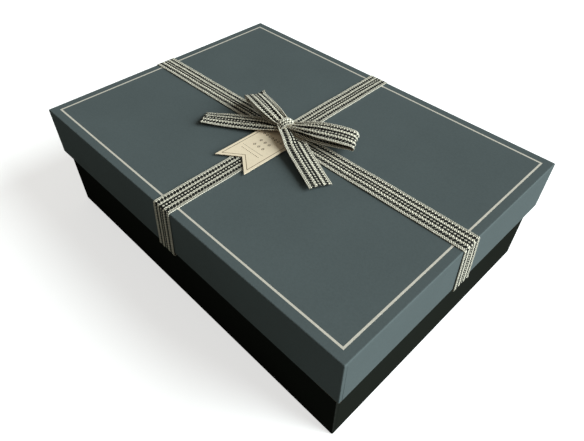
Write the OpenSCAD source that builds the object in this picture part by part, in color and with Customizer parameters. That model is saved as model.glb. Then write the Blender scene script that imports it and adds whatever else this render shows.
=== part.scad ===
// Two-piece rigid gift box: a wrapped board base, a lift-off lid with a foil line,
// two ribbon bands that cross on the lid, a tied bow and a swallow-tailed card tag.
// X runs along the box, Y across it and Z up. The origin is the middle of the underside.

/* [Box] */
// Length of the lid over its paper
lid_l = 276; // [200:1:360]
// Width of the lid over its paper
lid_w = 200; // [150:1:260]
// Height of the closed box
box_h = 84; // [70:1:120]
// Depth of the lid's skirt, from the top face to the rim
lid_h = 36.5; // [25:0.5:50]
// Clearance between the lid's inside and the base, on each side
fit_gap = 0.8; // [0.75:0.05:1.5]

/* [Board and paper] */
// Thickness of the greyboard panels
board_t = 1.8; // [1.5:0.1:2.5]
// Thickness of the wrapping and lining papers
paper_t = 0.25; // [0.2:0.05:0.4]
// How far the wrapping paper turns in over a rim
turn_in = 18; // [12:1:24]
// Length of each leg of a corner stay
stay_leg = 16; // [10:1:24]
// Thickness of a corner stay
stay_t = 0.1; // [0.08:0.01:0.12]

/* [Foil line] */
// Distance from the lid's edge to the outside of the foil line
foil_inset = 6; // [4:0.5:12]
// Width of the foil line
foil_w = 1; // [0.6:0.1:2]
// Depth to which the foil is pressed into the paper
foil_t = 0.08; // [0.05:0.01:0.12]

/* [Ribbon] */
// Width of the ribbon
ribbon_w = 15; // [12:1:18]
// Thickness of the ribbon
ribbon_t = 0.6; // [0.4:0.05:0.6]
// Length of ribbon glued up inside the lid
ribbon_tuck = 14; // [8:1:17]

/* [Bow] */
// Place of the knot along the lid, from its middle
bow_x = -2; // [-5:0.5:5]
// Place of the knot across the lid, from its middle
bow_y = 0.5; // [-4:0.5:4]
// Reach of the left loop from the middle of the knot
left_loop_l = 43; // [36:1:56]
// Reach of the right loop from the middle of the knot
right_loop_l = 48; // [36:1:56]
// Opening of a loop at its fullest
loop_full = 9; // [6:0.5:12]
// Length of the left tail from the middle of the knot
left_tail_l = 58; // [50:1:70]
// Length of the right tail from the middle of the knot
right_tail_l = 61; // [50:1:70]
// Direction of the left loop, from +X
left_loop_turn = 166; // [162:1:176]
// Direction of the right loop, from +X
right_loop_turn = 21; // [10:1:26]
// Direction of the left tail, from +X
left_tail_turn = 213; // [208:1:220]
// Direction of the right tail, from +X
right_tail_turn = -25; // [-35:1:-20]

/* [Tag] */
// Width of the tag
tag_w = 28; // [24:1:32]
// Length of the tag from its hole to the tips of its swallow tail
tag_reach = 49; // [44:1:58]
// Depth of the swallow tail's notch
tag_notch = 10.5; // [6:0.5:14]
// Thickness of the tag's card
tag_t = 0.4; // [0.3:0.05:0.45]
// Direction in which the tag lies, from -Y
tag_turn = 0; // [-10:1:10]

/* [Hidden] */
shell_t = paper_t + board_t + paper_t;          // a wall's full thickness, papers included
inset = shell_t + fit_gap;                      // how far the base stands in from the lid
base_l = lid_l - 2 * inset;
base_w = lid_w - 2 * inset;
base_h = box_h - shell_t;                       // the lid's ceiling rests on the base's rim
rim_z = box_h - lid_h;                          // underside of the lid's rim
stack_z = box_h + 2 * ribbon_t;                 // top of the two bands where they cross
wall_z = paper_t + board_t;                     // the base's wall boards stand on its floor board
base_wall_h = base_h - paper_t - wall_z;
lid_wall_h = lid_h - 2 * paper_t - board_t;     // the lid's wall boards hang from its top board
tag_gap = 0.1;                                  // air under the tag and over it
tag_z = stack_z + tag_gap;
bow_z = tag_z + tag_t + tag_gap;                // underside of the knot
hole_r = 2.5;                                   // punched hole in the tag
stem_r = 2.4;                                   // tie of the bow, which passes through the hole
tag_head = 6;                                   // card beyond the middle of the hole
knot_l = 9.5;                                   // length of the knot along the bow
knot_w = 8;
knot_h = 7.5;
knot_sides = 24;                                // flats round the knot
throat_low = bow_z + 3;                         // a loop's lower layer where it enters the knot
throat_high = bow_z + 6;                        // its upper layer there
loop_end_z = bow_z + 6.5;                       // middle of a loop's round end
tail_root_z = bow_z + 0.3;                      // a tail where it leaves the knot
tail_end_z = bow_z + 2;
neck_start = 3.5;                               // loops and tails start inside the knot
neck_w = 7;                                     // width of a loop or tail at the knot
neck_run = 18;                                  // distance over which it opens to full width
left_slant = -6;                                // how far a tail's end is cut askew
right_slant = 2;
hump_run = 3;                                   // length of the ramp where one band climbs the other
eps = 0.5;                                      // overshoot of a cutting solid
curve_steps = 28;                               // points along a loop or tail

slate = [0.29, 0.35, 0.37];
black = [0.06, 0.06, 0.055];
grey_board = [0.55, 0.52, 0.47];
kraft = [0.62, 0.48, 0.33];
champagne = [0.80, 0.77, 0.66];
woven = [0.80, 0.78, 0.71];
cream = [0.90, 0.84, 0.70];

// ---- shared shapes ---------------------------------------------------------

// A block centred on X and Y, with its underside at z
module slab(l, w, h, z) {
    translate([-l / 2, -w / 2, z]) cube([l, w, h]);
}

// A rectangular sleeve, open at both ends, with walls t thick
module sleeve(l, w, h, z, t) {
    difference() {
        slab(l, w, h, z);
        slab(l - 2 * t, w - 2 * t, h + 2 * eps, z - eps);
    }
}

// Front and back wall panels run the full length, and the ends stand between them
module long_wall(l, w, h, z, side) {
    translate([0, side * (w - board_t) / 2, 0]) slab(l, board_t, h, z);
}

module end_wall(l, w, h, z, side) {
    translate([side * (l - board_t) / 2, 0, 0]) slab(board_t, w - 2 * board_t, h, z);
}

// Four paper angles pasted round the corners of a tray of boards, l by w outside
module corner_angles(l, w, h, z) {
    for (sx = [-1, 1]) {
        for (sy = [-1, 1]) {
            intersection() {
                sleeve(l + 2 * stay_t, w + 2 * stay_t, h, z, stay_t);
                translate([sx * l / 2, sy * w / 2, 0]) slab(2 * stay_leg, 2 * stay_leg, h, z);
            }
        }
    }
}

// ---- ribbon geometry -------------------------------------------------------

function unit(v) = v / norm(v);
function left_of(v) = [-v[1], v[0]];

// Normal to a path at point i, lengthened at a corner so that the strip keeps its thickness
function mitre(path, i) =
    let (a = left_of(unit(path[max(i, 1)] - path[max(i, 1) - 1])),
         k = min(i, len(path) - 2),
         b = left_of(unit(path[k + 1] - path[k])))
    (a + b) / (1 + a * b);

// Outline of a strip of thickness t that lies on the left of a path
function strip(path, t) = concat(
    path,
    [for (i = [len(path) - 1:-1:0]) path[i] + t * mitre(path, i)]
);

// Half of a band's path in its own upright plane: from the middle of the lid out,
// down the skirt, under the rim and up inside the lid
function half_band(half, climb, start) = [
    [start, box_h + climb],
    [start + (climb > 0 ? hump_run : 1), box_h],
    [half, box_h],
    [half, rim_z],
    [half - shell_t, rim_z],
    [half - shell_t, rim_z + ribbon_tuck]
];

function mirrored(path) = [for (i = [len(path) - 1:-1:0]) [-path[i][0], path[i][1]]];

module band(half, climb, start) {
    path = concat(mirrored(half_band(half, climb, start)), half_band(half, climb, start));
    rotate([90, 0, 0]) translate([0, 0, -ribbon_w / 2])
        linear_extrude(ribbon_w) polygon(strip(path, ribbon_t));
}

// A loop drawn upright: out along the top, round the end and back below
function loop_path(reach) = [
    for (i = [0:curve_steps])
        let (a = 360 * i / curve_steps,
             s = (1 - cos(a)) / 2,
             middle = (throat_low + throat_high) / 2 * (1 - s) + loop_end_z * s,
             throat = (throat_high - throat_low) / 2 * cos(a / 2),
             belly = loop_full / 2 * sin(a) * pow(sin(a / 2), 1.2))
        [neck_start + (reach - neck_start) * s, middle + throat + belly]
];

// A tail drawn upright, rising gently to its end
function tail_path(reach) = [
    [neck_start, tail_root_z],
    [neck_run, (3 * tail_root_z + tail_end_z) / 4],
    [reach / 2, (tail_root_z + 2 * tail_end_z) / 3],
    [reach, tail_end_z]
];

// Plan of a loop or tail: narrow at the knot, full width further out, its end cut on a slant
module plan(reach, slant) {
    polygon([
        [neck_start, -neck_w / 2], [neck_start + neck_run, -ribbon_w / 2],
        [reach - slant / 2, -ribbon_w / 2], [reach + slant / 2, ribbon_w / 2],
        [neck_start + neck_run, ribbon_w / 2], [neck_start, neck_w / 2]
    ]);
}

// The knot is an oval bundle along the bow, on the tie that holds it to the bands
module knot_shape() {
    translate([-knot_l / 2, 0, bow_z + knot_h / 2]) rotate([90, 0, 90]) linear_extrude(knot_l)
        polygon([
            for (i = [0:knot_sides - 1])
                let (a = 360 * i / knot_sides)
                [knot_w / 2 * cos(a), knot_h / 2 * sin(a)]
        ]);
    translate([0, 0, stack_z]) cylinder(r = stem_r, h = knot_h / 2, $fn = 48);
}

// A loop or tail, cut off where it enters the knot
module bow_part(path, turn, reach, slant) {
    translate([bow_x, bow_y, 0]) difference() {
        rotate([0, 0, turn]) intersection() {
            rotate([90, 0, 0]) translate([0, 0, -ribbon_w])
                linear_extrude(2 * ribbon_w) polygon(strip(path, ribbon_t));
            translate([0, 0, box_h]) linear_extrude(40) plan(reach, slant);
        }
        knot_shape();
    }
}

// ---- base ------------------------------------------------------------------

module base_floor_board() {
    color(grey_board) slab(base_l - 2 * paper_t, base_w - 2 * paper_t, board_t, paper_t);
}

module base_long_board(side) {
    color(grey_board) long_wall(base_l - 2 * paper_t, base_w - 2 * paper_t, base_wall_h, wall_z, side);
}

module base_end_board(side) {
    color(grey_board) end_wall(base_l - 2 * paper_t, base_w - 2 * paper_t, base_wall_h, wall_z, side);
}

module base_stay_shapes() {
    corner_angles(base_l - 2 * paper_t, base_w - 2 * paper_t, base_wall_h + board_t, paper_t);
}

module base_corner_stays() {
    color(kraft) base_stay_shapes();
}

// Black paper: up the outside, over the rim and down inside by the turn-in
module base_side_wrap() {
    color(black) difference() {
        union() {
            sleeve(base_l, base_w, base_h - paper_t, paper_t, paper_t);
            sleeve(base_l, base_w, paper_t, base_h - paper_t, shell_t);
            sleeve(base_l - 2 * (paper_t + board_t), base_w - 2 * (paper_t + board_t),
                turn_in, base_h - turn_in, paper_t);
        }
        base_stay_shapes();
    }
}

module base_bottom_sheet() {
    color(black) slab(base_l, base_w, paper_t, 0);
}

module base_floor_lining() {
    color(black) slab(base_l - 2 * shell_t, base_w - 2 * shell_t, paper_t, wall_z);
}

// A strip round the inside of the walls, from the floor up to the turned-in paper
module base_wall_lining() {
    color(black) sleeve(base_l - 2 * (paper_t + board_t), base_w - 2 * (paper_t + board_t),
        base_h - turn_in - wall_z, wall_z, paper_t);
}

// ---- lid -------------------------------------------------------------------

module lid_top_board() {
    color(grey_board) slab(lid_l - 2 * paper_t, lid_w - 2 * paper_t, board_t, box_h - paper_t - board_t);
}

module lid_long_board(side) {
    color(grey_board) long_wall(lid_l - 2 * paper_t, lid_w - 2 * paper_t, lid_wall_h, rim_z + paper_t, side);
}

module lid_end_board(side) {
    color(grey_board) end_wall(lid_l - 2 * paper_t, lid_w - 2 * paper_t, lid_wall_h, rim_z + paper_t, side);
}

module lid_stay_shapes() {
    corner_angles(lid_l - 2 * paper_t, lid_w - 2 * paper_t, lid_wall_h + board_t, rim_z + paper_t);
}

module lid_corner_stays() {
    color(kraft) lid_stay_shapes();
}

// One rectangular line of foil, pressed flush into the paper of the lid's top
module foil_shape() {
    sleeve(lid_l - 2 * foil_inset, lid_w - 2 * foil_inset, foil_t, box_h - foil_t, foil_w);
}

// Slate paper: over the top, down the skirt, round the rim and up inside by the turn-in
module lid_wrap() {
    color(slate) difference() {
        union() {
            slab(lid_l, lid_w, paper_t, box_h - paper_t);
            sleeve(lid_l, lid_w, lid_h, rim_z, paper_t);
            sleeve(lid_l, lid_w, paper_t, rim_z, shell_t);
            sleeve(lid_l - 2 * (paper_t + board_t), lid_w - 2 * (paper_t + board_t), turn_in, rim_z, paper_t);
        }
        lid_stay_shapes();
        foil_shape();
    }
}

// Paper over the lid's ceiling and down its inner walls to the turned-in paper
module lid_lining() {
    color(slate) union() {
        slab(lid_l - 2 * shell_t, lid_w - 2 * shell_t, paper_t, box_h - shell_t);
        sleeve(lid_l - 2 * (paper_t + board_t), lid_w - 2 * (paper_t + board_t),
            lid_h - turn_in - paper_t - board_t, rim_z + turn_in, paper_t);
    }
}

module foil_border() {
    color(champagne) foil_shape();
}

// ---- ribbon and tag --------------------------------------------------------

module ribbon_lengthwise() {
    color(woven) band(lid_l / 2, 0, ribbon_w);
}

// Climbs over the lengthwise band where they cross
module ribbon_crosswise() {
    color(woven) rotate([0, 0, 90]) band(lid_w / 2, ribbon_t, ribbon_w / 2 + 1);
}

module bow_loop(reach, turn) {
    color(woven) bow_part(loop_path(reach), turn, reach + ribbon_w, 0);
}

module bow_tail(reach, turn, slant) {
    color(woven) bow_part(tail_path(reach + ribbon_w), turn, reach, slant);
}

module bow_knot() {
    color(woven) translate([bow_x, bow_y, 0]) union() knot_shape();
}

// Swallow-tailed card, punched near its square end for the tie
module tag_card() {
    half = tag_w / 2;
    color(cream) translate([bow_x, bow_y, tag_z]) rotate([0, 0, tag_turn]) difference() {
        linear_extrude(tag_t) polygon([
            [-half, tag_head], [-half, -tag_reach], [0, tag_notch - tag_reach],
            [half, -tag_reach], [half, tag_head]
        ]);
        translate([0, 0, -eps]) cylinder(r = hole_r, h = tag_t + 2 * eps, $fn = 48);
    }
}

// ---- nodes -----------------------------------------------------------------

base_floor_board();
base_long_board(-1);  // base_front_board
base_long_board(1);  // base_back_board
base_end_board(-1);  // base_left_board
base_end_board(1);  // base_right_board
base_corner_stays();
base_side_wrap();
base_bottom_sheet();
base_floor_lining();
base_wall_lining();
lid_top_board();
lid_long_board(-1);  // lid_front_board
lid_long_board(1);  // lid_back_board
lid_end_board(-1);  // lid_left_board
lid_end_board(1);  // lid_right_board
lid_corner_stays();
lid_wrap();
lid_lining();
foil_border();
ribbon_lengthwise();
ribbon_crosswise();
bow_loop(left_loop_l, left_loop_turn);  // bow_left_loop
bow_loop(right_loop_l, right_loop_turn);  // bow_right_loop
bow_tail(left_tail_l, left_tail_turn, left_slant);  // bow_left_tail
bow_tail(right_tail_l, right_tail_turn, right_slant);  // bow_right_tail
bow_knot();
tag_card();
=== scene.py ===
"""A two-piece gift box in Blender: wrapped boards, a foil line, woven ribbon, a tied bow and a card tag."""

import math

import bmesh
import bpy
import numpy as np
from bpy.props import FloatProperty, FloatVectorProperty, PointerProperty
from mathutils import Matrix, Vector


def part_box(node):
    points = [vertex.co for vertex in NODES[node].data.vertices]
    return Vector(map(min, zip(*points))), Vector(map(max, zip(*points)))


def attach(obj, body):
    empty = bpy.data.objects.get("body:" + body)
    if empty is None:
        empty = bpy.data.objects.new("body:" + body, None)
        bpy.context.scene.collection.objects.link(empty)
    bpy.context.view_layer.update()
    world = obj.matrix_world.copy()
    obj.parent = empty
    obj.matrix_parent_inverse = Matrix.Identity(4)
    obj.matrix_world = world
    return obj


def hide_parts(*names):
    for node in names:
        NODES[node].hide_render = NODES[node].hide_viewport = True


bl_info = {
    "name": "Ribboned Gift Box",
    "version": (1, 0, 0),
    "blender": (4, 5, 0),
    "location": "View3D > Sidebar > Gift Box",
    "description": "Dresses the packed gift box with paper, foil, woven ribbon and a card tag",
    "category": "Object",
}

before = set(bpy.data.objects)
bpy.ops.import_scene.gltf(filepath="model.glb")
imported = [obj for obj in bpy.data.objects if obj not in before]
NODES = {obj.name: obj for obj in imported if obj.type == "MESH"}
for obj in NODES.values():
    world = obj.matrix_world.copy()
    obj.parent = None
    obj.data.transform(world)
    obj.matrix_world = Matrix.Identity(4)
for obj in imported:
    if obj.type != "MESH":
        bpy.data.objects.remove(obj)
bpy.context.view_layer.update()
MM = 0.001
LID_LOW, LID_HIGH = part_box("lid_wrap")
BASE_LOW, BASE_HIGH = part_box("base_side_wrap")
SHEET_LOW, SHEET_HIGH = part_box("base_bottom_sheet")
FOIL_LOW, FOIL_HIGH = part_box("foil_border")
CARD_LOW, CARD_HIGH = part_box("tag_card")
KNOT_LOW, KNOT_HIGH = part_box("bow_knot")
LID_TOP = LID_HIGH.z
RIM = LID_LOW.z
KNOT_X = (KNOT_LOW.x + KNOT_HIGH.x) / 2
KNOT_Y = (KNOT_LOW.y + KNOT_HIGH.y) / 2
FOIL_WIDTH = 1.0 * MM
STAY_THICK = 0.1 * MM
FLOOR_DROP = 0.05 * MM
FLOOR_HALF = 4.0
# what the floor throws back on the box, and the air's tint and strength on it
FLOOR_BOUNCE = (0.29, 0.30, 0.285)
AIR_TINT = (0.95, 0.98, 0.85)
AIR_STRENGTH = 0.17
# the key light's direction and softness in degrees, its power and its tint
KEY_TURN, KEY_HEIGHT, KEY_SOFTNESS = 36.0, 25.0, 48.0
KEY_POWER = 5.9
KEY_TINT = (0.865, 1.02, 1.04)
# the camera's place in metres, its axes, and its lens in millimetres
CAMERA_AT = (0.199302, -0.194376, 0.285944)
CAMERA_RIGHT = Vector((0.7012568, 0.7128689, 0.0075356))
CAMERA_UP = Vector((-0.5118360, 0.4960845, 0.7013730))
CAMERA_LENS = 31.524


def length(name, description, default):
    """A size that a user may change, in metres."""
    return FloatProperty(
        name=name, description=description, default=default, min=0.0, unit="LENGTH", subtype="DISTANCE"
    )


def colour(name, description, default):
    """A colour that a user may change, linear."""
    return FloatVectorProperty(
        name=name, description=description, default=default, size=3, min=0.0, max=1.0, subtype="COLOR"
    )


class BoxSizes(bpy.types.PropertyGroup):
    """Sizes of the boards' paper and of the foil line."""

    edge_round: length("Edge rounding", "Radius of the paper over a board's edge", 0.8 * MM)
    paper: length("Paper", "Thickness of the wrapping paper", 0.25 * MM)
    shell: length("Wall", "Thickness of a wall with its papers", 2.3 * MM)
    turn_in: length("Turn-in", "Paper folded in over a rim", 18 * MM)
    turn_under: length("Turn-under", "Paper folded under the base", 15 * MM)
    sheet_inset: length("Bottom sheet inset", "Bottom sheet's edge from the base's edge", 2.5 * MM)
    seam_inset: length("Seam inset", "Overlap seam's distance from an upright edge", 2.5 * MM)
    seam_step: length("Seam step", "Height of the paper's overlap at the seam", 0.14 * MM)
    stay_leg: length("Corner stay leg", "Length of each leg of a corner stay", 16 * MM)
    foil_depth: length("Foil depth", "How deep the foil is pressed", 0.06 * MM)
    foil_spread: length("Foil spread", "Foil past each side of its line", 0.12 * MM)


class RibbonSizes(bpy.types.PropertyGroup):
    """Sizes of the woven ribbon."""

    width: length("Width", "Width of the ribbon", 15 * MM)
    body: length("Body", "Thickness of the ribbon between its cords", 0.44 * MM)
    cord: length("Edge cord", "Thickness of the cord along each edge", 0.6 * MM)
    pitch: length("Weave pitch", "Length of one repeat of the weave", 2.2 * MM)
    tuck: length("Tuck", "Ribbon glued up inside the lid", 14 * MM)
    step: length("Mesh step", "Length of one mesh cell along the ribbon", 0.55 * MM)
    fray: length("Fray", "How unevenly the tails are cut", 0.9 * MM)
    pleat_end: length("Pleat end", "Where the right tail's pleat opens out, from the knot", 20 * MM)


class TagSizes(bpy.types.PropertyGroup):
    """Sizes of the card tag."""

    notch: length("Notch", "Depth of the swallow tail", 10.5 * MM)
    hole: length("Hole", "Radius of the punched hole", 2.5 * MM)
    border_inset: length("Border inset", "Printed border's distance from the card's edge", 1.8 * MM)
    border_width: length("Border width", "Width of the printed border", 0.4 * MM)


class BoxColours(bpy.types.PropertyGroup):
    """Colours of the papers, foil, ribbon and card."""

    slate: colour("Slate paper", "Lid paper", (0.0915, 0.1045, 0.106))
    slate_worn: colour("Slate paper, rubbed", "Lid paper along its edges", (0.108, 0.124, 0.126))
    black: colour("Black paper", "Base paper", (0.0125, 0.0130, 0.0105))
    black_worn: colour("Black paper, rubbed", "Base paper along its edges", (0.035, 0.035, 0.031))
    greyboard: colour("Greyboard", "Core board", (0.27, 0.25, 0.21))
    kraft: colour("Kraft", "Corner stays", (0.36, 0.22, 0.11))
    foil: colour("Foil", "Champagne foil", (0.88, 0.765, 0.66))
    cream: colour("Cream thread", "Ribbon's light threads", (0.90, 0.79, 0.64))
    cord: colour("Cord thread", "Ribbon's edge cords", (0.72, 0.63, 0.52))
    ink_thread: colour("Dark thread", "Ribbon's dark threads", (0.009, 0.008, 0.007))
    card: colour("Card", "Tag card", (0.93, 0.725, 0.53))
    print: colour("Print", "Printing on the tag", (0.13, 0.075, 0.04))
    floor: colour("Floor", "Studio floor", (0.86, 0.80, 0.79))


def sizes():
    return bpy.context.scene.box_sizes


def ribbon():
    return bpy.context.scene.ribbon_sizes


def colours():
    return bpy.context.scene.box_colours


# ---- shaders ----------------------------------------------------------------


class Wiring:
    """Adds shader nodes to one tree and joins them up."""

    def __init__(self, tree):
        self.tree = tree

    def put(self, socket, value):
        if isinstance(value, bpy.types.NodeSocket):
            self.tree.links.new(value, socket)
        elif hasattr(value, "__len__") and len(value) == 3 and socket.type == "RGBA":
            socket.default_value = (*value, 1.0)
        else:
            socket.default_value = value

    def add(self, kind, inputs=None, **settings):
        node = self.tree.nodes.new("ShaderNode" + kind)
        for name, value in settings.items():
            setattr(node, name, value)
        for name, value in (inputs or {}).items():
            self.put(node.inputs[name], value)
        return node

    def calc(self, operation, *values):
        node = self.add("Math", operation=operation)
        for socket, value in zip(node.inputs, values):
            self.put(socket, value)
        return node.outputs[0]

    def vector(self, operation, *values):
        node = self.add("VectorMath", operation=operation)
        for socket, value in zip(node.inputs, values):
            self.put(socket, value)
        return node.outputs[0]

    def times(self, a, b):
        return self.calc("MULTIPLY", a, b)

    def minus(self, a, b):
        return self.calc("SUBTRACT", a, b)

    def scale_add(self, value, factor, base):
        return self.calc("MULTIPLY_ADD", value, factor, base)

    def size_of(self, value):
        return self.calc("ABSOLUTE", value)

    def ease(self, value, low, high, start=0.0, end=1.0):
        """Runs smoothly from start to end as value goes from low to high."""
        node = self.add("MapRange", interpolation_type="SMOOTHSTEP")
        names = ("Value", "From Min", "From Max", "To Min", "To Max")
        for name, number in zip(names, (value, low, high, start, end)):
            self.put(node.inputs[name], number)
        return node.outputs["Result"]

    def noise(self, place, scale, detail=2.0, rough=0.5):
        node = self.add("TexNoise", {"Vector": place, "Scale": scale, "Detail": detail, "Roughness": rough})
        return node.outputs[0]

    def mix(self, factor, a, b, blend="MIX"):
        node = self.add("Mix", data_type="RGBA", blend_type=blend)
        for index, value in zip((0, 6, 7), (factor, a, b)):
            self.put(node.inputs[index], value)
        return node.outputs[2]

    def group(self, tree, **inputs):
        node = self.tree.nodes.new("ShaderNodeGroup")
        node.node_tree = tree
        for name, value in inputs.items():
            self.put(node.inputs[name.replace("_", " ").title()], value)
        return node.outputs


def effect(name, inputs, outputs):
    """An empty node group with named sockets, its wiring, and its inner ends."""
    tree = bpy.data.node_groups.new(name, "ShaderNodeTree")
    for way, sockets in (("INPUT", inputs), ("OUTPUT", outputs)):
        for label, kind in sockets.items():
            tree.interface.new_socket(label, in_out=way, socket_type="NodeSocket" + kind)
    start = tree.nodes.new("NodeGroupInput")
    end = tree.nodes.new("NodeGroupOutput")
    return tree, Wiring(tree), start.outputs, end.inputs


def paper_fibres():
    """Tone and height of pressed paper: mottling, short fibres and a fine tooth."""
    tree = bpy.data.node_groups.get("Paper Fibres")
    if tree:
        return tree
    tree, wire, given, out = effect(
        "Paper Fibres", {"Place": "Vector", "Fibre Scale": "Float"}, {"Tone": "Float", "Height": "Float"}
    )
    place = given["Place"]
    mottle = wire.noise(place, 22.0, 4.0, 0.6)
    cloud = wire.noise(place, 6.0, 2.0, 0.5)
    fibre = wire.noise(place, given["Fibre Scale"], 5.0, 0.62)
    tooth = wire.noise(place, wire.times(given["Fibre Scale"], 4.0), 2.0, 0.6)
    tone = wire.scale_add(wire.minus(fibre, 0.5), 0.30, 1.0)
    tone = wire.scale_add(wire.minus(mottle, 0.5), 0.16, tone)
    tone = wire.scale_add(wire.minus(cloud, 0.5), 0.10, tone)
    wire.put(out["Tone"], tone)
    wire.put(out["Height"], wire.scale_add(tooth, 0.4, fibre))
    return tree


def edge_wear():
    """A mask of the rubbed strip along a box's edges."""
    tree = bpy.data.node_groups.get("Edge Wear")
    if tree:
        return tree
    tree, wire, given, out = effect(
        "Edge Wear",
        {"Place": "Vector", "Centre": "Vector", "Half Size": "Vector", "Strip": "Float"},
        {"Mask": "Float"},
    )
    away = wire.vector("ABSOLUTE", wire.vector("SUBTRACT", given["Place"], given["Centre"]))
    depth = wire.add("SeparateXYZ", {"Vector": wire.vector("SUBTRACT", given["Half Size"], away)}).outputs
    x, y, z = depth[0], depth[1], depth[2]
    least = wire.calc("MINIMUM", wire.calc("MINIMUM", x, y), z)
    most = wire.calc("MAXIMUM", wire.calc("MAXIMUM", x, y), z)
    total = wire.calc("ADD", wire.calc("ADD", x, y), z)
    second = wire.minus(wire.minus(total, least), most)
    ragged = wire.noise(given["Place"], 260.0, 4.0, 0.7)
    reach = wire.times(given["Strip"], wire.ease(ragged, 0.25, 0.75, 0.45, 1.5))
    share = wire.calc("DIVIDE", second, reach)
    wire.put(out["Mask"], wire.ease(share, 0.25, 1.0, 1.0, 0.0))
    return tree


def ribbon_weave():
    """Colour and height of the striped weave, from the ribbon's own length and breadth in metres. The colour
    has painted shade and highlight on the threads' relief, and a painted shadow line inside each edge cord.
    """
    tree = bpy.data.node_groups.get("Ribbon Weave")
    if tree:
        return tree
    tree, wire, given, out = effect(
        "Ribbon Weave",
        {"Along And Across": "Vector", "Cream": "Color", "Dark": "Color", "Cord": "Color", "Pitch": "Float"},
        {"Colour": "Color", "Height": "Float", "Dark Mask": "Float"},
    )
    place = given["Along And Across"]
    parts = wire.add("SeparateXYZ", {"Vector": place}).outputs
    drift = wire.minus(wire.noise(place, 330.0, 2.0), 0.5)
    sway = wire.minus(wire.noise(place, 700.0, 2.0), 0.5)
    along = wire.scale_add(parts[0], 1000.0, wire.times(drift, 0.9))
    across = wire.scale_add(parts[1], 1000.0, wire.times(sway, 0.35))
    out_from_middle = wire.size_of(across)
    turns = wire.calc("DIVIDE", along, wire.times(given["Pitch"], 1000.0))
    local = wire.minus(wire.calc("FRACT", turns), 0.5)
    # slanted dashes either side of the middle
    slant = wire.times(local, 0.9)
    from_dash = wire.size_of(wire.minus(wire.size_of(wire.minus(across, slant)), 4.5))
    taper = wire.times(local, local)
    dash_half = wire.scale_add(taper, -2.5, 1.20)
    dash = wire.ease(wire.minus(from_dash, dash_half), -0.10, 0.12, 1.0, 0.0)
    # middle: two dark rows with a row of light ovals between them
    wave = wire.calc("COSINE", wire.times(turns, 2 * math.pi))
    middle_half = wire.scale_add(wave, 0.20, 1.88)
    middle = wire.ease(wire.minus(out_from_middle, middle_half), -0.10, 0.12, 1.0, 0.0)
    oval_x = wire.times(local, 2.9)
    oval_y = wire.calc("DIVIDE", wire.minus(across, wire.times(local, 0.3)), 0.60)
    squares = wire.calc("ADD", wire.calc("POWER", oval_x, 2.0), wire.calc("POWER", oval_y, 2.0))
    oval_r = wire.calc("SQRT", squares)
    oval = wire.ease(oval_r, 0.70, 1.10, 1.0, 0.0)
    middle = wire.times(middle, wire.minus(1.0, oval))
    # painted shadow: a thin dark line inside each edge cord, where the cord stands above the body, coloured
    # as a dark thread
    groove = wire.size_of(wire.minus(out_from_middle, 6.62))
    groove = wire.ease(groove, 0.06, 0.26, 0.85, 0.0)
    # slanted ribs of the light threads, and pinholes between them; in the colour, the rib valleys and
    # pinholes are painted shade and the ridges are painted highlight
    rib_turns = wire.scale_add(across, 0.36, wire.times(turns, 2.0))
    rib = wire.scale_add(wire.calc("SINE", wire.times(rib_turns, 2 * math.pi)), 0.5, 0.5)
    from_lane = wire.size_of(wire.minus(out_from_middle, 4.3))
    lane = wire.size_of(wire.minus(from_lane, 1.45))
    pin = wire.times(wire.ease(lane, 0.2, 0.85, 1.0, 0.0), wire.ease(rib, 0.06, 0.5, 1.0, 0.0))
    cord = wire.ease(out_from_middle, 6.62, 6.80, 0.0, 1.0)
    twist_turns = wire.scale_add(across, 0.9, wire.times(along, 0.72))
    twist = wire.calc("SINE", wire.times(twist_turns, 2 * math.pi))
    twist = wire.scale_add(twist, 0.5, 0.5)
    thread = wire.noise(place, 3200.0, 3.0, 0.6)
    light = wire.mix(cord, given["Cream"], given["Cord"])
    # painted shade and highlight: darker in the rib valleys and pinholes, lighter on the ridges
    shade = wire.scale_add(wire.minus(1.0, rib), -0.85, 1.24)
    shade = wire.scale_add(pin, -0.45, shade)
    # painted light and shade that rise and fall once along each weave repeat
    swell_turns = wire.scale_add(across, 0.18, turns)
    swell = wire.calc("SINE", wire.times(swell_turns, 2 * math.pi))
    shade = wire.scale_add(swell, 0.16, shade)
    # painted shade in the twist grooves of the edge cords, lighter on the twists
    cord_shade = wire.scale_add(twist, 0.85, 0.42)
    both = wire.add("Mix", data_type="FLOAT")
    for index, value in zip((0, 2, 3), (cord, shade, cord_shade)):
        wire.put(both.inputs[index], value)
    shade = wire.times(both.outputs[0], wire.scale_add(thread, 0.8, 0.60))
    grey = wire.add("CombineXYZ", {"X": shade, "Y": shade, "Z": shade}).outputs[0]
    light = wire.mix(1.0, light, grey, "MULTIPLY")
    # the pattern's dark threads, with the painted shadow line inside each cord
    dark = wire.calc("MAXIMUM", wire.calc("MAXIMUM", dash, middle), groove)
    dark_tone = wire.mix(wire.ease(thread, 0.5, 0.8, 0.0, 0.12), given["Dark"], given["Cord"])
    wire.put(out["Colour"], wire.mix(dark, light, dark_tone))
    wire.put(out["Dark Mask"], dark)
    height = wire.scale_add(rib, 0.5, wire.times(dark, -0.5))
    height = wire.scale_add(pin, -0.5, height)
    height = wire.scale_add(wire.times(cord, twist), 0.5, height)
    wire.put(out["Height"], wire.scale_add(thread, 0.3, height))
    return tree


def start_material(name):
    """A new material, its wiring and its shader. Its name ends in "finish", as no packed one's does."""
    name = f"{name} finish"
    found = bpy.data.materials.get(name)
    if found:
        return found, None, None
    material = bpy.data.materials.new(name)
    material.use_nodes = True
    material.node_tree.nodes.clear()
    wire = Wiring(material.node_tree)
    shader = wire.add("BsdfPrincipled")
    wire.put(wire.add("OutputMaterial").inputs["Surface"], shader.outputs[0])
    return material, wire, shader


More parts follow.
